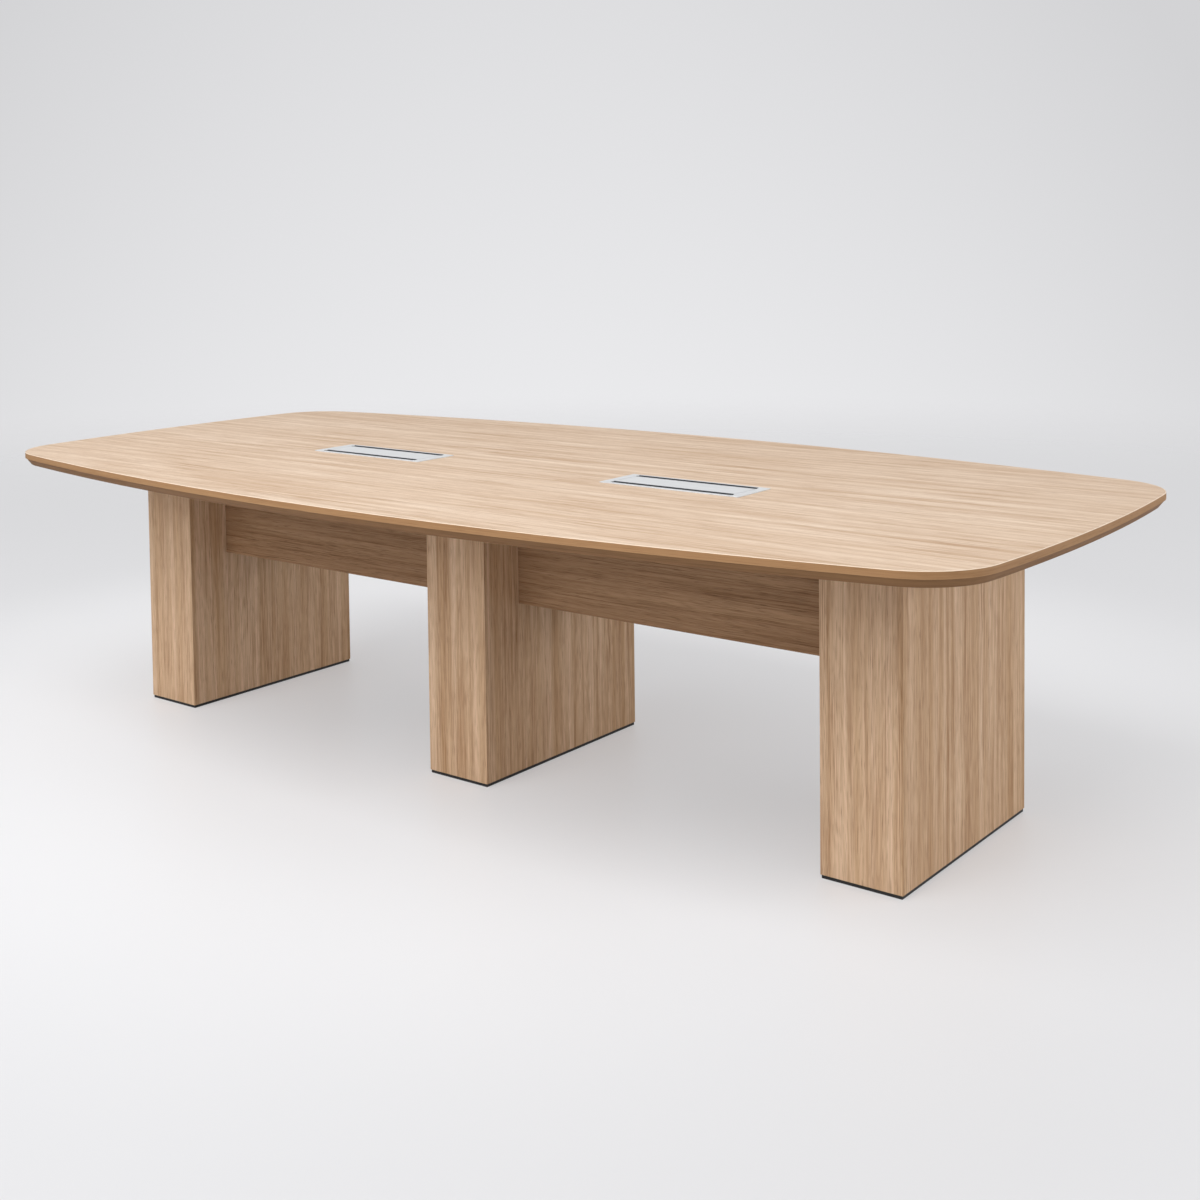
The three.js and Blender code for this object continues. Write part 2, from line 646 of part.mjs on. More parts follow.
function socketBlock() {
  const tools = [];
  for (let i = 0; i < SOCKET_COUNT; i++) {
    const x = (i - (SOCKET_COUNT - 1) / 2) * SOCKET_PITCH;
    const bottom = MODULE_PROUD - SOCKET_WELL_DEPTH;
    const mouth = [x, 0, MODULE_PROUD];
    tools.push(bar("z", mouth, SOCKET_WELL_DIAMETER, 2 * SOCKET_WELL_DEPTH, SOCKET_SEGMENTS));
    for (const side of [-1, 1]) {
      const centre = [x + (side * SOCKET_PIN_PITCH) / 2, 0, bottom];
      tools.push(bar("z", centre, SOCKET_PIN_DIAMETER, 2 * SOCKET_PIN_DEPTH, PIN_SEGMENTS));
    }
  }
  const body = cut(moduleBody(SOCKET_BLOCK_LENGTH, 0, MODULE_PROUD), ...tools);
  return intoFace(body, SOCKET_BLOCK_X);
}

function dataBlock() {
  const tools = [-1, 1].map((side) => {
    const x = (side * DATA_PORT_PITCH) / 2;
    return block(
      [x - DATA_PORT_WIDTH / 2, -DATA_PORT_HEIGHT / 2, MODULE_PROUD - DATA_PORT_DEPTH],
      [x + DATA_PORT_WIDTH / 2, DATA_PORT_HEIGHT / 2, MODULE_PROUD + CUT_MARGIN],
    );
  });
  return intoFace(cut(moduleBody(DATA_BLOCK_LENGTH, 0, MODULE_PROUD), ...tools), DATA_BLOCK_X);
}

// The mains lead plugs into this inlet, outside the end of the well.
function mainsInlet() {
  const low = WELL_FLOOR + INLET_RISE;
  const end = -WELL_HALF_LENGTH - INLET_LENGTH;
  const body = block(
    [-WELL_HALF_LENGTH, -INLET_WIDTH / 2, low],
    [end, INLET_WIDTH / 2, low + INLET_HEIGHT],
  );
  const recess = block(
    [end + INLET_RECESS_DEPTH, -INLET_WIDTH / 2 + INLET_WALL, low + INLET_WALL],
    [end - CUT_MARGIN, INLET_WIDTH / 2 - INLET_WALL, low + INLET_HEIGHT - INLET_WALL],
  );
  return cut(body, recess);
}

function buildPowerBox(side) {
  const box = new THREE.Group();
  box.position.set(POWER_BOX_PLACES[side], -POWER_BOX_FORWARD, 0);
  const add = (name, geometry, material) => box.add(piece(`${side}_power_${name}`, geometry, material));
  add("frame", powerFrame(), SILVER);
  add("lid", powerLid(), SILVER);
  add("hinge_pin_left", hingePin(-1), STEEL);
  add("hinge_pin_right", hingePin(1), STEEL);
  add("well", powerWell(), DARK_STEEL);
  add("socket_housing", socketHousing(), DARK_STEEL);
  add("socket_block", socketBlock(), PALE_PLASTIC);
  add("data_block", dataBlock(), BLACK_PLASTIC);
  add("mains_inlet", mainsInlet(), BLACK_PLASTIC);
  return box;
}

const table = new THREE.Group();
table.name = "conference_table";
table.add(buildTop());
for (const side of Object.keys(PEDESTAL_PLACES)) table.add(buildPedestal(side));
for (const side of Object.keys(POWER_BOX_PLACES)) table.add(buildBay(side));
for (const side of Object.keys(POWER_BOX_PLACES)) table.add(buildPowerBox(side));

export default table;
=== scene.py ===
# %% [markdown]
# # Dressing a conference table
# The CAD model already holds every board, panel and power box at its real size and place.
# This lesson gives those pieces the finishes of the real table, adds the small fittings that are
# too fine for CAD, and sets up a plain studio round them.
# The CAD model is loaded first, because every finish and fitting is placed against it.

# %% Load the CAD model
import math

import bmesh
import bpy
from mathutils import Matrix, Vector


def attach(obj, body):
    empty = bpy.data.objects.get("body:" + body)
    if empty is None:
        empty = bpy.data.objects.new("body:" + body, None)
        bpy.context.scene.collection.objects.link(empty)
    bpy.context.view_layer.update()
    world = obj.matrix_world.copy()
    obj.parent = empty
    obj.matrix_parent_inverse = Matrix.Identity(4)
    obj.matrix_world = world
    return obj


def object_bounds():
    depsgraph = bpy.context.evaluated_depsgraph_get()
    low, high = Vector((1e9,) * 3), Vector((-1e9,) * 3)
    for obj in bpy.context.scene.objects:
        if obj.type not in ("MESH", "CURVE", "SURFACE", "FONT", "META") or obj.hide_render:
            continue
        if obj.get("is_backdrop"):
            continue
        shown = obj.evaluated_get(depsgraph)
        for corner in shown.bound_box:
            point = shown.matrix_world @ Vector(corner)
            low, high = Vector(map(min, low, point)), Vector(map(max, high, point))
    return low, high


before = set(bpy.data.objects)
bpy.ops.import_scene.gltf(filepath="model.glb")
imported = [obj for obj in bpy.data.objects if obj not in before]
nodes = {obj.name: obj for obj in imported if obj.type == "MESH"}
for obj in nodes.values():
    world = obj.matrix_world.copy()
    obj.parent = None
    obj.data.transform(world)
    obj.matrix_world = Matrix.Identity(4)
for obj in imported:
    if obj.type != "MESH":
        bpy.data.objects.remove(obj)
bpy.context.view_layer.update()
MM = 0.001
print("loaded", len(nodes), "CAD pieces")

# %% [markdown]
# ## Camera
# The photograph was taken from the right-hand front corner, about 1.4 m above the floor, with the
# picture's centre moved down from the lens axis.
# The values come from matching the table's corners and edges to the photograph: a focal length
# and a lens axis in pixels, a place in metres and three turns.
# A shifted lens keeps the pedestals upright, which turning the camera down would not.

# %% Camera
SENSOR_WIDTH = 36
PHOTO_PIXELS = 1200
FOCAL_PIXELS = 1620.69
AXIS_PIXEL_X = 555
AXIS_PIXEL_Y = 310
CAMERA_PLACE = Vector((2.67734, -3.2693, 1.38173))
CAMERA_YAW = 0.6715
CAMERA_PITCH = 0.0526
CAMERA_ROLL = -0.0131

lens = bpy.data.cameras.new("photo_camera")
lens.sensor_width = SENSOR_WIDTH
lens.lens = FOCAL_PIXELS / PHOTO_PIXELS * lens.sensor_width
lens.shift_x = 0.5 - AXIS_PIXEL_X / PHOTO_PIXELS
lens.shift_y = AXIS_PIXEL_Y / PHOTO_PIXELS - 0.5
camera = bpy.data.objects.new("photo_camera", lens)
bpy.context.scene.collection.objects.link(camera)
turn = Matrix.Rotation(CAMERA_YAW, 4, "Z")
tilt = Matrix.Rotation(math.pi / 2 - CAMERA_PITCH, 4, "X")
lean = Matrix.Rotation(CAMERA_ROLL, 4, "Z")
camera.matrix_world = Matrix.Translation(CAMERA_PLACE) @ turn @ tilt @ lean
bpy.context.scene.camera = camera
bpy.context.scene.view_settings.view_transform = "Standard"
print("camera lens", round(lens.lens, 2), "mm")

# %% [markdown]
# ## Colours and nodes
# Every finish is a small network of nodes. Colours are written as sRGB hex values, as a paint chart
# gives them, and one function turns them to the linear values that Blender works in.
# One function adds a node: what goes into its sockets is a number, a colour or another node's output.

# %% Helpers for colours and nodes
def linear(hex_colour):
    """An sRGB hex colour as linear red, green and blue with full opacity."""
    channels = [int(hex_colour[i:i + 2], 16) / 255 for i in (1, 3, 5)]
    bright = [((c + 0.055) / 1.055) ** 2.4 if c > 0.04045 else c / 12.92 for c in channels]
    return bright + [1.0]


def feed(tree, node, values):
    """Links or sets the sockets of a node."""
    for socket, value in values.items():
        if isinstance(value, bpy.types.NodeSocket):
            tree.links.new(value, node.inputs[socket])
        else:
            node.inputs[socket].default_value = value


def add_node(tree, kind, values=None, **settings):
    """Adds one node with its settings and with what goes into its sockets."""
    node = tree.nodes.new(kind)
    for setting, value in settings.items():
        setattr(node, setting, value)
    feed(tree, node, values or {})
    return node


def new_finish(name):
    """A new material with its node tree and its surface shader."""
    finish = bpy.data.materials.new(name)
    finish.use_nodes = True
    return finish, finish.node_tree, finish.node_tree.nodes["Principled BSDF"]


print("white is", linear("#FFFFFF"))

# %% [markdown]
# ## Sky and backdrop
# The photograph shows a seamless pale studio with soft light from everywhere. A modelled room would need
# walls and many lamps; a sky of even light gives the same with one world shader.
# The camera sees a pale grey backdrop in place of the light, with a painted pool of light brightest behind
# the table and dimmer upwards and to the sides, and so do mirrors.

# %% Sky and backdrop
SKY_STRENGTH = 0.62
SIDEWAYS = Vector((math.cos(CAMERA_YAW), math.sin(CAMERA_YAW), 0))
# The backdrop's painted pool of light: palest at the horizon behind the table, dimmer upwards and to the
# sides.
BACKDROP_AT_HORIZON = 0.79
DIMMING_UPWARDS = 0.37
DIMMING_SIDEWAYS = 0.75
BACKDROP_DARKEST = 0.66
BACKDROP_PALEST = 0.88
BACKDROP_GREY = "#D3D3D5"
BACKDROP_WHITE = "#F0F0F2"

studio = bpy.data.worlds.new("studio")
studio.use_nodes = True
bpy.context.scene.world = studio
sky = studio.node_tree
sky.nodes.clear()
ray = add_node(sky, "ShaderNodeLightPath").outputs
direct = add_node(sky, "ShaderNodeMath", {0: ray["Is Camera Ray"], 1: ray["Is Glossy Ray"]}, operation="ADD")
seen = add_node(sky, "ShaderNodeMath", {0: direct.outputs[0], 1: ray["Is Transmission Ray"]},
                operation="ADD", use_clamp=True)
look = add_node(sky, "ShaderNodeTexCoord").outputs["Generated"]
upward = add_node(sky, "ShaderNodeSeparateXYZ", {0: look}).outputs[2]
aside = add_node(sky, "ShaderNodeVectorMath", {0: look, 1: SIDEWAYS},
                 operation="DOT_PRODUCT").outputs["Value"]
spread = add_node(sky, "ShaderNodeMath", {0: aside, 1: aside}, operation="MULTIPLY").outputs[0]
lower = add_node(sky, "ShaderNodeMath", {0: upward, 1: -DIMMING_UPWARDS, 2: BACKDROP_AT_HORIZON},
                 operation="MULTIPLY_ADD").outputs[0]
level = add_node(sky, "ShaderNodeMath", {0: spread, 1: -DIMMING_SIDEWAYS, 2: lower},
                 operation="MULTIPLY_ADD").outputs[0]
tone = add_node(sky, "ShaderNodeMapRange",
                {"Value": level, "From Min": BACKDROP_DARKEST, "From Max": BACKDROP_PALEST}).outputs[0]
backdrop_light_pool = add_node(sky, "ShaderNodeMix", {0: tone, 6: linear(BACKDROP_GREY), 7: linear(BACKDROP_WHITE)},
                 data_type="RGBA").outputs[2]
backdrop = add_node(sky, "ShaderNodeBackground", {"Color": backdrop_light_pool, "Strength": 1.0})
light = add_node(sky, "ShaderNodeBackground", {"Color": linear("#FFFFFF"), "Strength": SKY_STRENGTH})
shown = add_node(sky, "ShaderNodeMixShader",
                 {0: seen.outputs[0], 1: light.outputs[0], 2: backdrop.outputs[0]})
add_node(sky, "ShaderNodeOutputWorld", {"Surface": shown.outputs[0]})
print("sky strength", SKY_STRENGTH)

# %% [markdown]
# ## Lamps
# A photographer would light a table this long with soft boxes: one overhead for the top, one far in front
# for the pedestals' faces, and a weaker one on the right for their sides. Area lamps of real size give the
# same soft edges to the shadows, where point lamps would cut them hard.

# %% Lamps
def soft_lamp(name, place, target, width, height, power):
    """A large soft box that faces the target."""
    lamp = bpy.data.lights.new(name, "AREA")
    lamp.shape = "RECTANGLE"
    lamp.size = width
    lamp.size_y = height
    lamp.energy = power
    box = bpy.data.objects.new(name, lamp)
    box.location = place
    box.rotation_mode = "QUATERNION"
    box.rotation_quaternion = (Vector(target) - Vector(place)).to_track_quat("-Z", "Y")
    bpy.context.scene.collection.objects.link(box)
    return box


soft_lamp("overhead_soft_box", place=(0, -2.8, 4.6), target=(0, 0, 0.7), width=6.0, height=3.6, power=185)
soft_lamp("front_soft_box", place=(-2.6, -13.0, 6.8), target=(0, 0, 0.4), width=6.0, height=4.0, power=310)
soft_lamp("right_soft_box", place=(6.2, 3.4, 1.5), target=(0.6, 0, 0.4), width=3.2, height=2.2, power=108)
print("lamps", len(bpy.data.lights))

# %% [markdown]
# ## Floor
# The table stands on a matt painted floor with a painted pool of light, palest round the table, which keeps
# its wide soft shadow.
# A curved sweep up to a wall is the usual studio trick. A flat disc that turns clear far away does the
# same from every side: it fades into the backdrop, so no horizon shows.

# %% Floor
FLOOR_RADIUS = 14.0
FLOOR_SIDES = 96
FADE_START = 3.5
FADE_END = 9.0
FLOOR_PALENESS = 0.36
# A painted pool of light: the floor is painted pale near the table and greyer beyond it.
FLOOR_LIGHT_POOL = "#EAEAEC"
FLOOR_BEYOND_POOL = "#CCCCCE"
FLOOR_GLOW = "#FBFBFD"
MOTTLE_SCALE = 1.3
MOTTLE_SHIFT = 0.1
POOL_CENTRE = Vector((-0.3, 0.4, 0))
POOL_START = 1.4
POOL_END = 2.7


def studio_floor_with_painted_light_pool():
    """Matt pale floor paint under a painted pool of light, palest round the table. To the camera part of it
    is the backdrop's paleness, so shadows stay light."""
    finish, tree, surface = new_finish("studio_floor_with_painted_light_pool")
    place = add_node(tree, "ShaderNodeTexCoord").outputs["Object"]
    mottle = add_node(tree, "ShaderNodeTexNoise", {"Vector": place, "Scale": MOTTLE_SCALE, "Detail": 3.0})
    reach = add_node(tree, "ShaderNodeVectorMath", {0: place, 1: POOL_CENTRE}, operation="DISTANCE")
    # The mottle makes the edge of the painted pool of light uneven.
    worn = add_node(tree, "ShaderNodeMath",
                    {0: mottle.outputs[0], 1: MOTTLE_SHIFT, 2: reach.outputs["Value"]},
                    operation="MULTIPLY_ADD")
    edge = add_node(tree, "ShaderNodeMapRange",
                    {"Value": worn.outputs[0], "From Min": POOL_START, "From Max": POOL_END},
                    interpolation_type="SMOOTHSTEP")
    tone = add_node(tree, "ShaderNodeMix",
                    {0: edge.outputs[0], 6: linear(FLOOR_LIGHT_POOL), 7: linear(FLOOR_BEYOND_POOL)}, data_type="RGBA")
    feed(tree, surface, {"Base Color": tone.outputs[2], "Roughness": 0.4, "Specular IOR Level": 0.4})
    ray = add_node(tree, "ShaderNodeLightPath").outputs
    share = add_node(tree, "ShaderNodeMath", {0: ray["Is Camera Ray"], 1: FLOOR_PALENESS},
                     operation="MULTIPLY")
    glow = add_node(tree, "ShaderNodeEmission", {"Color": linear(FLOOR_GLOW), "Strength": 1.0})
    pale = add_node(tree, "ShaderNodeMixShader",
                    {0: share.outputs[0], 1: surface.outputs[0], 2: glow.outputs[0]})
    distance = add_node(tree, "ShaderNodeVectorMath", {0: place}, operation="LENGTH")
    fade = add_node(tree, "ShaderNodeMapRange",
                    {"Value": distance.outputs["Value"], "From Min": FADE_START, "From Max": FADE_END},
                    interpolation_type="SMOOTHSTEP")
    clear = add_node(tree, "ShaderNodeBsdfTransparent")
    mixed = add_node(tree, "ShaderNodeMixShader",
                     {0: fade.outputs[0], 1: pale.outputs[0], 2: clear.outputs[0]})
    feed(tree, tree.nodes["Material Output"], {"Surface": mixed.outputs[0]})
    return finish


floor_mesh = bpy.data.meshes.new("studio_floor")
disc = bmesh.new()
bmesh.ops.create_circle(disc, cap_ends=True, segments=FLOOR_SIDES, radius=FLOOR_RADIUS)
disc.to_mesh(floor_mesh)
disc.free()
floor = bpy.data.objects.new("studio_floor", floor_mesh)
bpy.context.scene.collection.objects.link(floor)
floor_mesh.materials.append(studio_floor_with_painted_light_pool())
floor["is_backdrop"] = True
print("floor radius", FLOOR_RADIUS, "m")

# %% [markdown]
# ## Oak laminate
# The boards are chipboard faced with a melamine sheet that carries an oak print under a matt film.
# An image of oak would be the usual way; here the print is drawn from noise that is stretched along
# the grain, so it never repeats and needs no file. Five layers make it: broad bands of tone, dark lines,
# arched figure as in a flat-sawn board, fine fibres in clusters, and short dark pores.
# The grain runs up the pedestals, along the top and the stretchers, and round the table's edge.
# Real fibres and pores are well under a millimetre wide; they are drawn coarser here, and coarsest on the
# top, which is seen at a flat angle, so that they show.

# %% Place on a laminate sheet
LENGTH_TO_WIDTH = 2.0


def sheet_place(tree, grain):
    """Where a point lies on a laminate sheet: two ways across its grain, then along it, in metres."""
    place = add_node(tree, "ShaderNodeTexCoord").outputs["Object"]
    x, y, z = add_node(tree, "ShaderNodeSeparateXYZ", {0: place}).outputs
    if grain == "upright":
        first, second, along = x, y, z
    elif grain == "lengthwise":
        first, second, along = y, z, x
    else:
        stretched = add_node(tree, "ShaderNodeMath", {0: y, 1: LENGTH_TO_WIDTH}, operation="MULTIPLY")
        bearing = add_node(tree, "ShaderNodeMath", {0: stretched.outputs[0], 1: x}, operation="ARCTAN2")
        first, second, along = z, 0.0, bearing.outputs[0]
    total = add_node(tree, "ShaderNodeMath", {0: first, 1: second}, operation="ADD")
    rest = add_node(tree, "ShaderNodeMath", {0: first, 1: second}, operation="SUBTRACT")
    across = {0: total.outputs[0], 1: rest.outputs[0], 2: along}
    return add_node(tree, "ShaderNodeCombineXYZ", across).outputs[0]


def streaks(tree, place, width, length, detail):
    """Streaks of about that width and length, in millimetres."""
    stretch = (1 / (width * MM), 1 / (width * MM), 1 / (length * MM))
    stretched = add_node(tree, "ShaderNodeVectorMath", {0: place, 1: stretch}, operation="MULTIPLY")
    pattern = {"Vector": stretched.outputs[0], "Scale": 1.0, "Detail": detail, "Roughness": 0.6}
    return add_node(tree, "ShaderNodeTexNoise", pattern).outputs[0]


print("grain directions: upright, lengthwise, round the edge")

# %% Arches and sway of the grain
HALF_LEAF = 112 * MM
ARCH_SPREAD = 34 * MM
ARCH_PITCH = 160 * MM
ARCH_SHARPNESS = 1.5
ARCH_WANDER = 7.0
WANDER_WIDTH, WANDER_LENGTH = 60, 420
SWAY_WIDTH, SWAY_LENGTH = 75, 420


def arched_figure(tree, place):
    """The arches of a flat-sawn board, leaf by leaf, from 0 to 1."""
    ways = add_node(tree, "ShaderNodeSeparateXYZ", {0: place}).outputs
    leaf = add_node(tree, "ShaderNodeMath", {0: ways[0], 1: HALF_LEAF}, operation="PINGPONG")
    scaled = add_node(tree, "ShaderNodeMath", {0: leaf.outputs[0], 1: ARCH_SPREAD}, operation="DIVIDE")
    flank = add_node(tree, "ShaderNodeMath", {0: scaled.outputs[0], 1: ARCH_SHARPNESS}, operation="POWER")
    wander = streaks(tree, place, WANDER_WIDTH, WANDER_LENGTH, 2.0)
    bent = add_node(tree, "ShaderNodeMath", {0: wander, 1: ARCH_WANDER, 2: flank.outputs[0]},
                    operation="MULTIPLY_ADD")
    climb = add_node(tree, "ShaderNodeMath", {0: ways[2], 1: 1 / ARCH_PITCH, 2: bent.outputs[0]},
                     operation="MULTIPLY_ADD")
    turned = add_node(tree, "ShaderNodeMath", {0: climb.outputs[0], 1: 2 * math.pi}, operation="MULTIPLY")
    wave = add_node(tree, "ShaderNodeMath", {0: turned.outputs[0]}, operation="SINE")
    return add_node(tree, "ShaderNodeMapRange", {"Value": wave.outputs[0], "From Min": -1.0}).outputs[0]


def wavy(tree, place, sway):
    """The same place, moved across the grain by up to that many millimetres, so that the grain wanders."""
    drift = streaks(tree, place, SWAY_WIDTH, SWAY_LENGTH, 1.0)
    shift = add_node(tree, "ShaderNodeMapRange",
                     {"Value": drift, "To Min": -sway * MM, "To Max": sway * MM})
    step = add_node(tree, "ShaderNodeCombineXYZ", {0: shift.outputs[0], 1: shift.outputs[0]})
    return add_node(tree, "ShaderNodeVectorMath", {0: place, 1: step.outputs[0]}).outputs[0]


print("an arched leaf is", round(2 * HALF_LEAF / MM), "mm wide")

# %% Oak laminate
# Noise gathers round a half: each layer shows the part of it between two values.
BAND_RANGE = (0.36, 0.64)
LINE_RANGE = (0.57, 0.76)
FIBRE_RANGE = (0.4, 0.66)
CLUSTER_RANGE = (0.34, 0.68)
PORE_RANGE = (0.58, 0.72)
CLUSTER_FIBRES, CLUSTER_LENGTH, CLUSTER_SHARE = 9, 520, 0.85
PORE_WIDTH, PORE_LENGTH, PORE_SHARE = 1.6, 46, 0.6
PORE_DEPTH = 0.08 * MM
GRAIN_SWAY = 4
FILM_ROUGHNESS = (0.55, 0.68)
FILM_SHINE = 0.12


def part_of(tree, value, span, share):
    """Stretches the values between the span's two ends to the range from 0 to share."""
    low, high = span
    stretched = {"Value": value, "From Min": low, "From Max": high, "To Max": share}
    return add_node(tree, "ShaderNodeMapRange", stretched).outputs[0]


def tint(tree, share, ground, colour):
    """Lays a colour over the ground by that share."""
    layer = {0: share, 6: ground, 7: linear(colour)}
    return add_node(tree, "ShaderNodeMix", layer, data_type="RGBA").outputs[2]


def oak_laminate(name, grain, tones, figure, bands=(42, 2600), seams=0.5, fibres=(2.6, 200)):
    """Melamine laminate with an oak print: grain direction, four tones from pale to pore, how strong arches
    and dark seams are, and the width and length of bands and fibres in millimetres."""
    pale, middle, dark, pore = tones
    band_width, band_length = bands
    fibre_width, fibre_length = fibres
    finish, tree, surface = new_finish(name)
    place = wavy(tree, sheet_place(tree, grain), GRAIN_SWAY)
    broad = part_of(tree, streaks(tree, place, band_width, band_length, 4.0), BAND_RANGE, 1.0)
    thin = streaks(tree, place, band_width / 3, band_length / 4, 3.0)
    dark_lines = part_of(tree, thin, LINE_RANGE, seams)
    fine = part_of(tree, streaks(tree, place, fibre_width, fibre_length, 3.0), FIBRE_RANGE, 1.0)
    patches = streaks(tree, place, CLUSTER_FIBRES * fibre_width, CLUSTER_LENGTH, 3.0)
    clusters = part_of(tree, patches, CLUSTER_RANGE, CLUSTER_SHARE)
    clustered = add_node(tree, "ShaderNodeMath", {0: fine, 1: clusters}, operation="MULTIPLY").outputs[0]
    pores = part_of(tree, streaks(tree, place, PORE_WIDTH, PORE_LENGTH, 1.0), PORE_RANGE, PORE_SHARE)
    arches = part_of(tree, arched_figure(tree, place), (0.0, 1.0), figure)
    ground = tint(tree, broad, linear(pale), middle)
    banded = tint(tree, dark_lines, ground, dark)
    figured = tint(tree, arches, banded, dark)
    fibrous = tint(tree, clustered, figured, dark)
    printed = tint(tree, pores, fibrous, pore)
    satin, dull = FILM_ROUGHNESS
    gloss = add_node(tree, "ShaderNodeMapRange", {"Value": clustered, "To Min": satin, "To Max": dull})
    hollows = add_node(tree, "ShaderNodeMath", {0: 1.0, 1: pores}, operation="SUBTRACT")
    relief = add_node(tree, "ShaderNodeBump",
                      {"Height": hollows.outputs[0], "Strength": 0.35, "Distance": PORE_DEPTH})
    feed(tree, surface, {"Base Color": printed, "Roughness": gloss.outputs[0],
                         "Specular IOR Level": FILM_SHINE, "Normal": relief.outputs[0]})
    return finish


print("oak pores are", PORE_WIDTH, "mm wide")

# %% Oak finishes
# A painted highlight: the edge band's top arris is painted paler, as the light it catches.
ARRIS_HIGHLIGHT_HEIGHT = 748.6 * MM
ARRIS_HIGHLIGHT_BLEND = 0.5 * MM
ARRIS_HIGHLIGHT_SHARE = 0.9
ARRIS_HIGHLIGHT_TONE = "#F0DDC8"


def painted_arris_highlight(finish, height):
    """Paints a highlight on the edge band's rounded arris as a paler line above that height."""
    tree = finish.node_tree
    surface = tree.nodes["Principled BSDF"]
    printed = surface.inputs["Base Color"].links[0].from_socket
    place = add_node(tree, "ShaderNodeTexCoord").outputs["Object"]
    up = add_node(tree, "ShaderNodeSeparateXYZ", {0: place}).outputs[2]
    highlight_share = part_of(tree, up, (height, height + ARRIS_HIGHLIGHT_BLEND), ARRIS_HIGHLIGHT_SHARE)
    feed(tree, surface, {"Base Color": tint(tree, highlight_share, printed, ARRIS_HIGHLIGHT_TONE)})


TOP_TONES = ("#E3CEB9", "#CDB298", "#AE8C6D", "#9C7B5E")
UPRIGHT_TONES = ("#E2C4A6", "#C7A582", "#8A5C32", "#6E492C")
# The stretchers are the same oak laminate as the pedestals, printed darker as painted shade for the shade
# under the top.
STRETCHER_SHADED_TONES = ("#B3906F", "#A07D5E", "#68472C", "#523823")
# The bevel is oak laminate printed darker as painted shade for its down-facing slope under the edge band.
BEVEL_SHADED_TONES = ("#8B6846", "#7F5D41", "#6C4D34", "#5A402A")
BAND_TONES = ("#AC8760", "#A17B57", "#8F6A48", "#7B593A")
top_oak = oak_laminate("oak_laminate_lengthwise", "lengthwise", TOP_TONES, figure=0.06, bands=(30, 700),
                       seams=0.35, fibres=(8, 180))
upright_oak = oak_laminate("oak_laminate_upright", "upright", UPRIGHT_TONES, figure=0.14, seams=0.65)
# Stretcher oak with painted shade in its darker tones.
shaded_stretcher_oak = oak_laminate("oak_laminate_stretcher", "lengthwise", STRETCHER_SHADED_TONES, figure=0.12,
                             bands=(30, 1600))
# Bevel oak with painted shade in its darker tones.
shaded_bevel_oak = oak_laminate("oak_laminate_bevel", "round the edge", BEVEL_SHADED_TONES, figure=0.05)
band_oak = oak_laminate("oak_edge_band", "round the edge", BAND_TONES, figure=0.05)
# Painted highlight along the edge band's arris.
painted_arris_highlight(band_oak, ARRIS_HIGHLIGHT_HEIGHT)
print("oak finishes made")

# %% [markdown]
# ## Metals
# The power boxes' frames and lids are anodised aluminium: brushed along their length, etched and sealed, so
# they look pale and silky. The brackets are zinc-plated sheet and the hinge pins plain steel.
# Each could have a shader of its own, but all of them are metal with fine lines, so one recipe serves.
# A metal keeps the default IOR; its colour, roughness and lines do the work.

# %% Metals
SCRATCH_LENGTH = 60
SCRATCH_DEPTH = 0.03 * MM
CLOUD_WIDTH, CLOUD_LENGTH = 40, 90
SCRATCH_GLOSS = 0.08


def brushed_metal(name, colour, worn, roughness, line_width, shine):
    """A metal brushed along the table's length. The lines are drawn wider than the real scratches, to show.
    An anodic film scatters part of the light, so its shine is under 1."""
    finish, tree, surface = new_finish(name)
    place = sheet_place(tree, "lengthwise")
    lines = streaks(tree, place, line_width, SCRATCH_LENGTH, 3.0)
    cloud = streaks(tree, place, CLOUD_WIDTH, CLOUD_LENGTH, 2.0)
    tone = add_node(tree, "ShaderNodeMix", {0: cloud, 6: linear(colour), 7: linear(worn)}, data_type="RGBA")
    gloss = add_node(tree, "ShaderNodeMapRange",
                     {"Value": lines, "To Min": roughness - SCRATCH_GLOSS,
                      "To Max": roughness + SCRATCH_GLOSS})
    relief = add_node(tree, "ShaderNodeBump", {"Height": lines, "Strength": 0.15, "Distance": SCRATCH_DEPTH})
    feed(tree, surface, {"Base Color": tone.outputs[2], "Metallic": shine, "Roughness": gloss.outputs[0],
                         "Normal": relief.outputs[0]})
    return finish


# Anodised: the etched film over the metal gives a soft, pale, almost white sheen.
aluminium = brushed_metal("anodised_aluminium_brushed", "#D6D7D8", "#CACCCE", roughness=0.66, line_width=1.2,
                          shine=0.2)
# Zinc-plated: a cool grey with a dull shine.
zinc = brushed_metal("zinc_plated_sheet", "#C9CAC6", "#B2B4B0", roughness=0.42, line_width=2.0, shine=1.0)
# Turned steel: bright, with fine lines.
steel = brushed_metal("bright_hinge_steel", "#C3C4C6", "#A9ABAE", roughness=0.3, line_width=0.4, shine=1.0)
print("metal finishes made")

# %% [markdown]
# ## Paint, plastic and raw board
# The wells are powder-coated sheet steel, with the orange-peel skin that the powder leaves as it melts.
# Sockets and housings are moulded plastic with a fine spark-eroded texture, the feet are nylon, the base
# boards black melamine, and the hidden fixing boards bare chipboard.
# They share one recipe: a base tone, a second tone in soft patches, and a grain of a real size.

# %% Paint, plastic and raw board
PATCH_SIZE = 25 * MM
PATCH_GLOSS = 0.07
FLAKE_SIZE = 4 * MM
FLAKE_DEPTH = 0.3 * MM


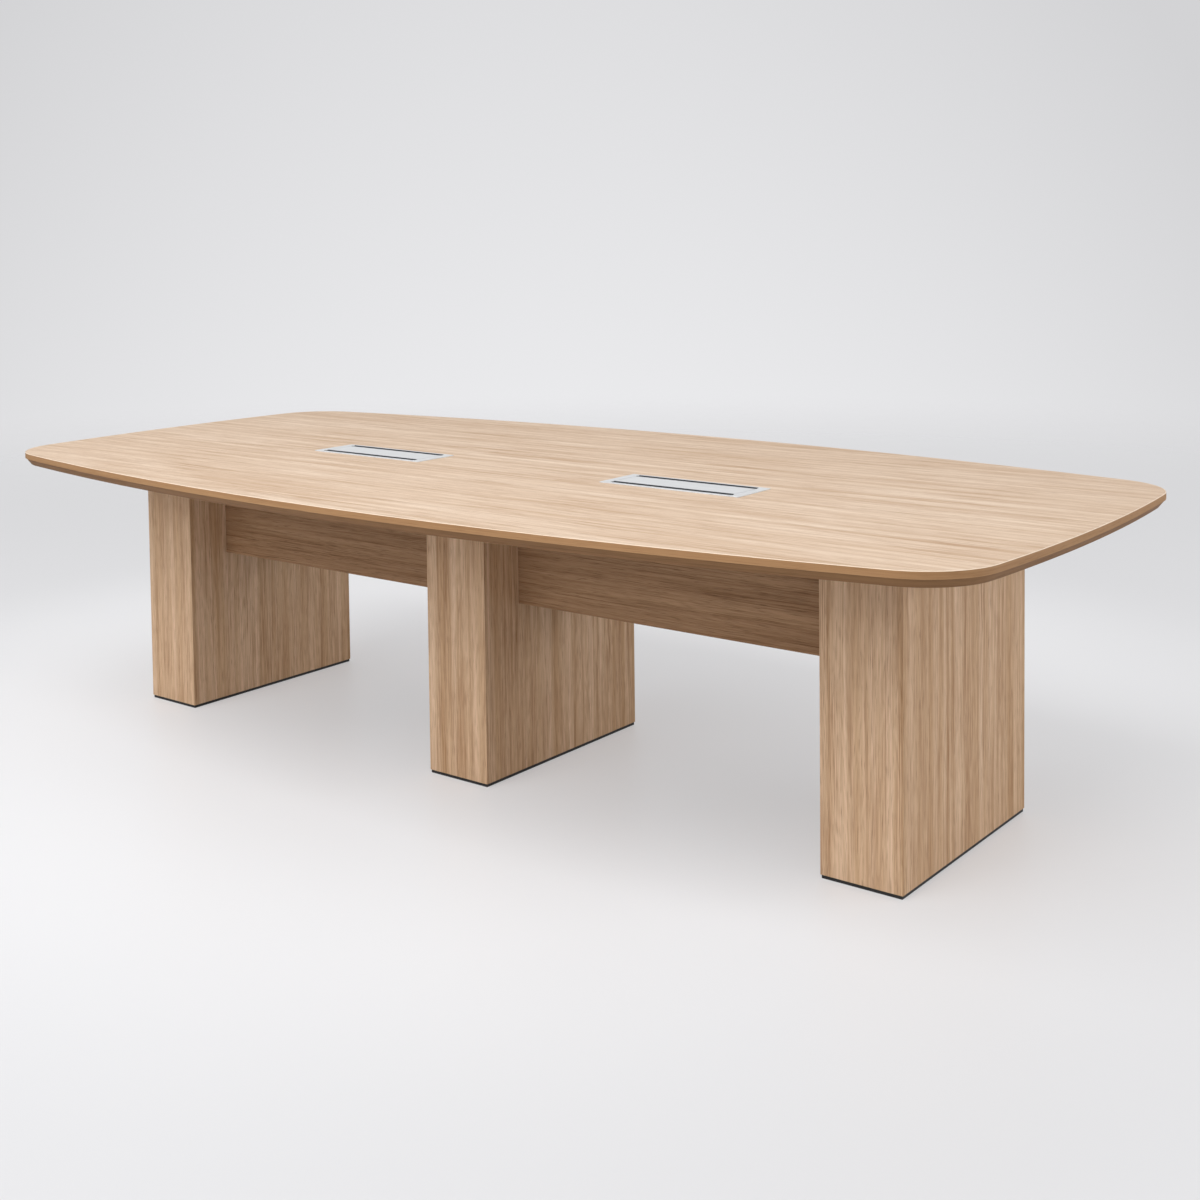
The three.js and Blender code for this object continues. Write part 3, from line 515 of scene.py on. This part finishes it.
def grained_finish(name, colour, second, roughness, grain, depth):
    """A moulded, sprayed or pressed surface with a grain of that size and depth in millimetres."""
    finish, tree, surface = new_finish(name)
    place = add_node(tree, "ShaderNodeTexCoord").outputs["Object"]
    patches = add_node(tree, "ShaderNodeTexNoise", {"Vector": place, "Scale": 1 / PATCH_SIZE, "Detail": 3.0})
    tone = add_node(tree, "ShaderNodeMix", {0: patches.outputs[0], 6: linear(colour), 7: linear(second)},
                    data_type="RGBA")
    skin = add_node(tree, "ShaderNodeTexNoise", {"Vector": place, "Scale": 1 / (grain * MM), "Detail": 2.0})
    gloss = add_node(tree, "ShaderNodeMapRange",
                     {"Value": patches.outputs[0], "To Min": roughness - PATCH_GLOSS,
                      "To Max": roughness + PATCH_GLOSS})
    relief = add_node(tree, "ShaderNodeBump",
                      {"Height": skin.outputs[0], "Strength": 0.3, "Distance": depth * MM})
    feed(tree, surface, {"Base Color": tone.outputs[2], "Roughness": gloss.outputs[0],
                         "Normal": relief.outputs[0]})
    return finish


def raw_chipboard():
    """Bare chipboard: pressed flakes a few millimetres long, each its own tone."""
    finish, tree, surface = new_finish("raw_chipboard_flakes")
    place = add_node(tree, "ShaderNodeTexCoord").outputs["Object"]
    flakes = add_node(tree, "ShaderNodeTexVoronoi", {"Vector": place, "Scale": 1 / FLAKE_SIZE})
    shade = add_node(tree, "ShaderNodeSeparateColor", {0: flakes.outputs["Color"]})
    tone = add_node(tree, "ShaderNodeMix", {0: shade.outputs[0], 6: linear("#CDB084"), 7: linear("#9F7F55")},
                    data_type="RGBA")
    relief = add_node(tree, "ShaderNodeBump",
                      {"Height": flakes.outputs["Distance"], "Strength": 0.4, "Distance": FLAKE_DEPTH})
    feed(tree, surface, {"Base Color": tone.outputs[2], "Roughness": 0.85, "Normal": relief.outputs[0]})
    return finish


# Melamine pressed under an embossed plate: a deep satin black.
black_melamine = grained_finish("black_melamine", "#121110", "#1A1817", roughness=0.5, grain=1.2, depth=0.05)
# Moulded nylon: dull, and waxy to look at.
foot_nylon = grained_finish("moulded_nylon", "#2A2B2C", "#343536", roughness=0.55, grain=0.8, depth=0.05)
# Powder coat: sprayed and melted, so its skin is slightly wavy.
powder_coat = grained_finish("black_powder_coat", "#2B2F34", "#343940", roughness=0.5, grain=1.6, depth=0.08)
# Moulded polycarbonate: clean white with a silky shine.
socket_plastic = grained_finish("white_polycarbonate", "#E6E6E3", "#DEDEDA", roughness=0.35, grain=0.7,
                                depth=0.03)
# Moulded ABS with a spark-eroded texture: an even, half-matt black.
black_plastic = grained_finish("black_abs", "#202224", "#292B2E", roughness=0.45, grain=0.7, depth=0.05)
print("painted and moulded finishes made")

# %% [markdown]
# ## Finishing the CAD pieces
# Each CAD piece keeps its own mesh and gets a finish in its material slot.
# CAD meshes come as loose facets with hard edges. Two modifiers mend that without touching the mesh: one
# joins the facets and shades shallow corners smooth, the other rounds sharp corners as sanding does.

# %% Finishes and rounded edges
SMOOTH_ANGLE = math.radians(35)
FACET_REACH = 0.01 * MM
ROUNDING_STEPS = 2


def facet_joiner():
    """A geometry node group that joins loose facets and shades shallow corners smooth."""
    group = bpy.data.node_groups.new("facet_joiner", "GeometryNodeTree")
    for way in ("INPUT", "OUTPUT"):
        group.interface.new_socket("Geometry", in_out=way, socket_type="NodeSocketGeometry")
    loose = add_node(group, "NodeGroupInput").outputs[0]
    bare = add_node(group, "GeometryNodeRemoveAttribute", {"Geometry": loose, "Name": "custom_normal"})
    joined = add_node(group, "GeometryNodeMergeByDistance",
                      {"Geometry": bare.outputs[0], "Distance": FACET_REACH})
    smooth = add_node(group, "GeometryNodeSetShadeSmooth",
                      {"Geometry": joined.outputs[0], "Shade Smooth": True}, domain="FACE")
    corner = add_node(group, "GeometryNodeInputMeshEdgeAngle").outputs["Unsigned Angle"]
    sharp = add_node(group, "FunctionNodeCompare", {0: corner, 1: SMOOTH_ANGLE}, operation="GREATER_THAN")
    creased = add_node(group, "GeometryNodeSetShadeSmooth",
                       {"Geometry": smooth.outputs[0], "Selection": sharp.outputs[0], "Shade Smooth": False},
                       domain="EDGE")
    add_node(group, "NodeGroupOutput", {0: creased.outputs[0]})
    return group


def soften(piece, joiner, rounding):
    """Joins a CAD piece's facets and rounds its sharp edges by that many millimetres."""
    piece.modifiers.new("joined_facets", "NODES").node_group = joiner
    edge = piece.modifiers.new("rounded_edges", "BEVEL")
    edge.width = rounding * MM
    edge.segments = ROUNDING_STEPS
    edge.limit_method = "ANGLE"
    edge.angle_limit = SMOOTH_ANGLE
    edge.harden_normals = True


# The finish of each material slot, and how far its edges are rounded, in millimetres.
FINISHES = {
    "oak_laminate_top": (top_oak, 0.3),
    "edge_band": (band_oak, 0.3),
    "oak_laminate_bevel": (shaded_bevel_oak, 0.4),
    "oak_laminate_upright": (upright_oak, 0.5),
    "oak_laminate_stretcher": (shaded_stretcher_oak, 0.5),
    "raw_chipboard": (raw_chipboard(), 0.3),
    "black_base": (black_melamine, 0.5),
    "foot_nylon": (foot_nylon, 0.4),
    "zinc_steel": (zinc, 0.4),
    "anodised_aluminium": (aluminium, 0.25),
    "hinge_steel": (steel, 0.2),
    "painted_steel": (powder_coat, 0.3),
    "socket_plastic": (socket_plastic, 0.3),
    "black_plastic": (black_plastic, 0.4),
}
joiner = facet_joiner()
for piece in nodes.values():
    finish, rounding = FINISHES[piece.material_slots[0].material.name]
    piece.material_slots[0].material = finish
    soften(piece, joiner, rounding)
print("finished", len(nodes), "CAD pieces")

# %% [markdown]
# ## Dark strips along the cable slots, as painted shade
# Dark strips along the slots' edges are painted shade: they stand for the shade down in the open slots and
# make the slots read as two dark lines. Each is an extruded strip with a domed back: a channel that grips
# the edge, of which only the dome shows.
# Each strip's place comes from the CAD lid's own box and the slot's width.

# %% Dark strips along the cable slots, as painted shade
CABLE_SLOT = 11 * MM
EDGING_WIDTH = 4.5 * MM
EDGING_HEIGHT = 0.7 * MM
LIP_DEPTH = 2.4 * MM
LIP_THICKNESS = 1.0 * MM
LIP_CLEARANCE = 0.05 * MM
END_GAP = 1.0 * MM
DOME_STEPS = 8


def piece_box(piece):
    """The lowest and highest corner of a CAD piece, in metres."""
    corners = [piece.matrix_world @ Vector(corner) for corner in piece.bound_box]
    low = Vector([min(corner[axis] for corner in corners) for axis in range(3)])
    high = Vector([max(corner[axis] for corner in corners) for axis in range(3)])
    return low, high


def edging_profile(edge, inwards, top):
    """The strip's outline across the slot: a lip down the slot's wall, then a dome over the metal's edge."""
    wall = edge + inwards * LIP_CLEARANCE
    front = edge + inwards * LIP_THICKNESS
    outline = [(wall, top - LIP_DEPTH), (front, top - LIP_DEPTH)]
    for step in range(DOME_STEPS + 1):
        angle = math.pi * step / DOME_STEPS
        reach = EDGING_WIDTH * (1 - math.cos(angle)) / 2
        outline.append((front - inwards * reach, top + EDGING_HEIGHT * math.sin(angle)))
    outline.append((wall, top))
    return outline


def solid_piece(name, points, faces, finish):
    """A new piece from points and faces, with its faces turned outwards."""
    mesh = bpy.data.meshes.new(name)
    mesh.from_pydata(points, [], faces)
    shell = bmesh.new()
    shell.from_mesh(mesh)
    bmesh.ops.recalc_face_normals(shell, faces=shell.faces)
    shell.to_mesh(mesh)
    shell.free()
    mesh.materials.append(finish)
    piece = bpy.data.objects.new(name, mesh)
    bpy.context.scene.collection.objects.link(piece)
    return piece


def extruded_strips(name, outline, spans, finish):
    """Strips along the table with that outline, whose points are places across the table and heights. Each
    span is where a strip starts and ends."""
    count = len(outline)
    points = [(x, y, z) for span in spans for x in span for y, z in outline]
    faces = []
    for first in range(0, len(points), 2 * count):
        near = [first + i for i in range(count)]
        far = [first + count + i for i in range(count)]
        faces += [near, far]
        faces += [(near[i - 1], near[i], far[i], far[i - 1]) for i in range(count)]
    return solid_piece(name, points, faces, finish)


# Painted shade for the slots: a dull charcoal strip that scatters what little light it gets.
slot_shade_finish = grained_finish("black_painted_slot_shade", "#25282C", "#2E3236", roughness=0.6, grain=0.9,
                               depth=0.04)
for side in ("left", "right"):
    low, high = piece_box(nodes[f"{side}_power_lid"])
    edges = {
        "frame_front": (low.y - CABLE_SLOT, 1, "table"),
        "lid_front": (low.y, -1, f"{side}_lid"),
        "lid_back": (high.y, 1, f"{side}_lid"),
        "frame_back": (high.y + CABLE_SLOT, -1, "table"),
    }
    for edge_name, (edge, inwards, body) in edges.items():
        outline = edging_profile(edge, inwards, high.z)
        span = (low.x + END_GAP, high.x - END_GAP)
        # Each strip lays painted shade along one edge of a cable slot.
        strip = extruded_strips(f"{side}_{edge_name}_edging", outline, [span], slot_shade_finish)
        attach(strip, body)
print("edging strips made")

# %% [markdown]
# ## Contacts in the sockets
# Two bent spring clips stand in every socket's round well, above and below, and earth the plug before its
# pins reach the live contacts. Each data port has eight gold-plated wires that slope towards its back.
# Both are stamped from strip, so an outline drawn across the table and pulled along it gives their form.

# %% Contacts in the sockets
SOCKET_COUNT = 3
WELL_RADIUS = 19.5 * MM
CLIP_WIDTH = 5 * MM
CLIP_LENGTH = 9 * MM
CLIP_BULGE = 2.6 * MM
CLIP_SETBACK = 1.5 * MM
CLIP_CLEARANCE = 0.4 * MM
STRIP_THICKNESS = 0.6 * MM
BEND_STEPS = 8
PORT_PITCH = 24 * MM
WIRE_COUNT = 8
WIRE_PITCH = 1.1 * MM
WIRE_WIDTH = 0.6 * MM
WIRE_RUN = 7 * MM
WIRE_DROP = 6 * MM


def clip_outline(mouth, height, way):
    """A spring clip that bulges towards the socket's axis, from its mouth inwards. Way is 1 for the upper
    clip and -1 for the lower one."""
    wall = WELL_RADIUS - CLIP_CLEARANCE
    arc = []
    for step in range(BEND_STEPS + 1):
        share = step / BEND_STEPS
        bulge = CLIP_BULGE * math.sin(math.pi * share)
        arc.append((mouth + CLIP_SETBACK + share * CLIP_LENGTH, wall - bulge))
    inner = [(y, height + way * (reach - STRIP_THICKNESS)) for y, reach in arc]
    outer = [(y, height + way * reach) for y, reach in reversed(arc)]
    return inner + outer


def wire_outline(mouth, height):
    """A contact wire that slopes down towards the back of its port."""
    front = (mouth + CLIP_SETBACK, height + WIRE_DROP / 2)
    back = (front[0] + WIRE_RUN, front[1] - WIRE_DROP)
    return [front, back, (back[0], back[1] + STRIP_THICKNESS), (front[0], front[1] + STRIP_THICKNESS)]


def rows(middle, count, pitch, width):
    """Where each of a row of strips starts and ends, evenly spaced round a middle."""
    centres = [middle + (i - (count - 1) / 2) * pitch for i in range(count)]
    return [(centre - width / 2, centre + width / 2) for centre in centres]


# Gold flash over copper alloy: a warm, bright glint.
contact_gold = brushed_metal("gold_plated_contacts", "#DDB765", "#C9A150", roughness=0.3, line_width=0.3,
                             shine=1.0)
for side in ("left", "right"):
    low, high = piece_box(nodes[f"{side}_power_socket_block"])
    middle = (low + high) / 2
    pitch = (high.x - low.x) / SOCKET_COUNT
    for place, way in (("upper", 1), ("lower", -1)):
        spans = rows(middle.x, SOCKET_COUNT, pitch, CLIP_WIDTH)
        outline = clip_outline(low.y, middle.z, way)
        clips = extruded_strips(f"{side}_{place}_earth_clips", outline, spans, steel)
        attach(clips, "table")
    low, high = piece_box(nodes[f"{side}_power_data_block"])
    middle = (low + high) / 2
    spans = []
    for port in (middle.x - PORT_PITCH / 2, middle.x + PORT_PITCH / 2):
        spans += rows(port, WIRE_COUNT, WIRE_PITCH, WIRE_WIDTH)
    wires = extruded_strips(f"{side}_port_wires", wire_outline(low.y, middle.z), spans, contact_gold)
    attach(wires, "table")
print("socket contacts made")

# %% [markdown]
# ## Size
# The dressed table's box, without the floor, is printed.

# %% Size
low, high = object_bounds()
print("visual box", [round(v, 4) for v in low], [round(v, 4) for v in high])
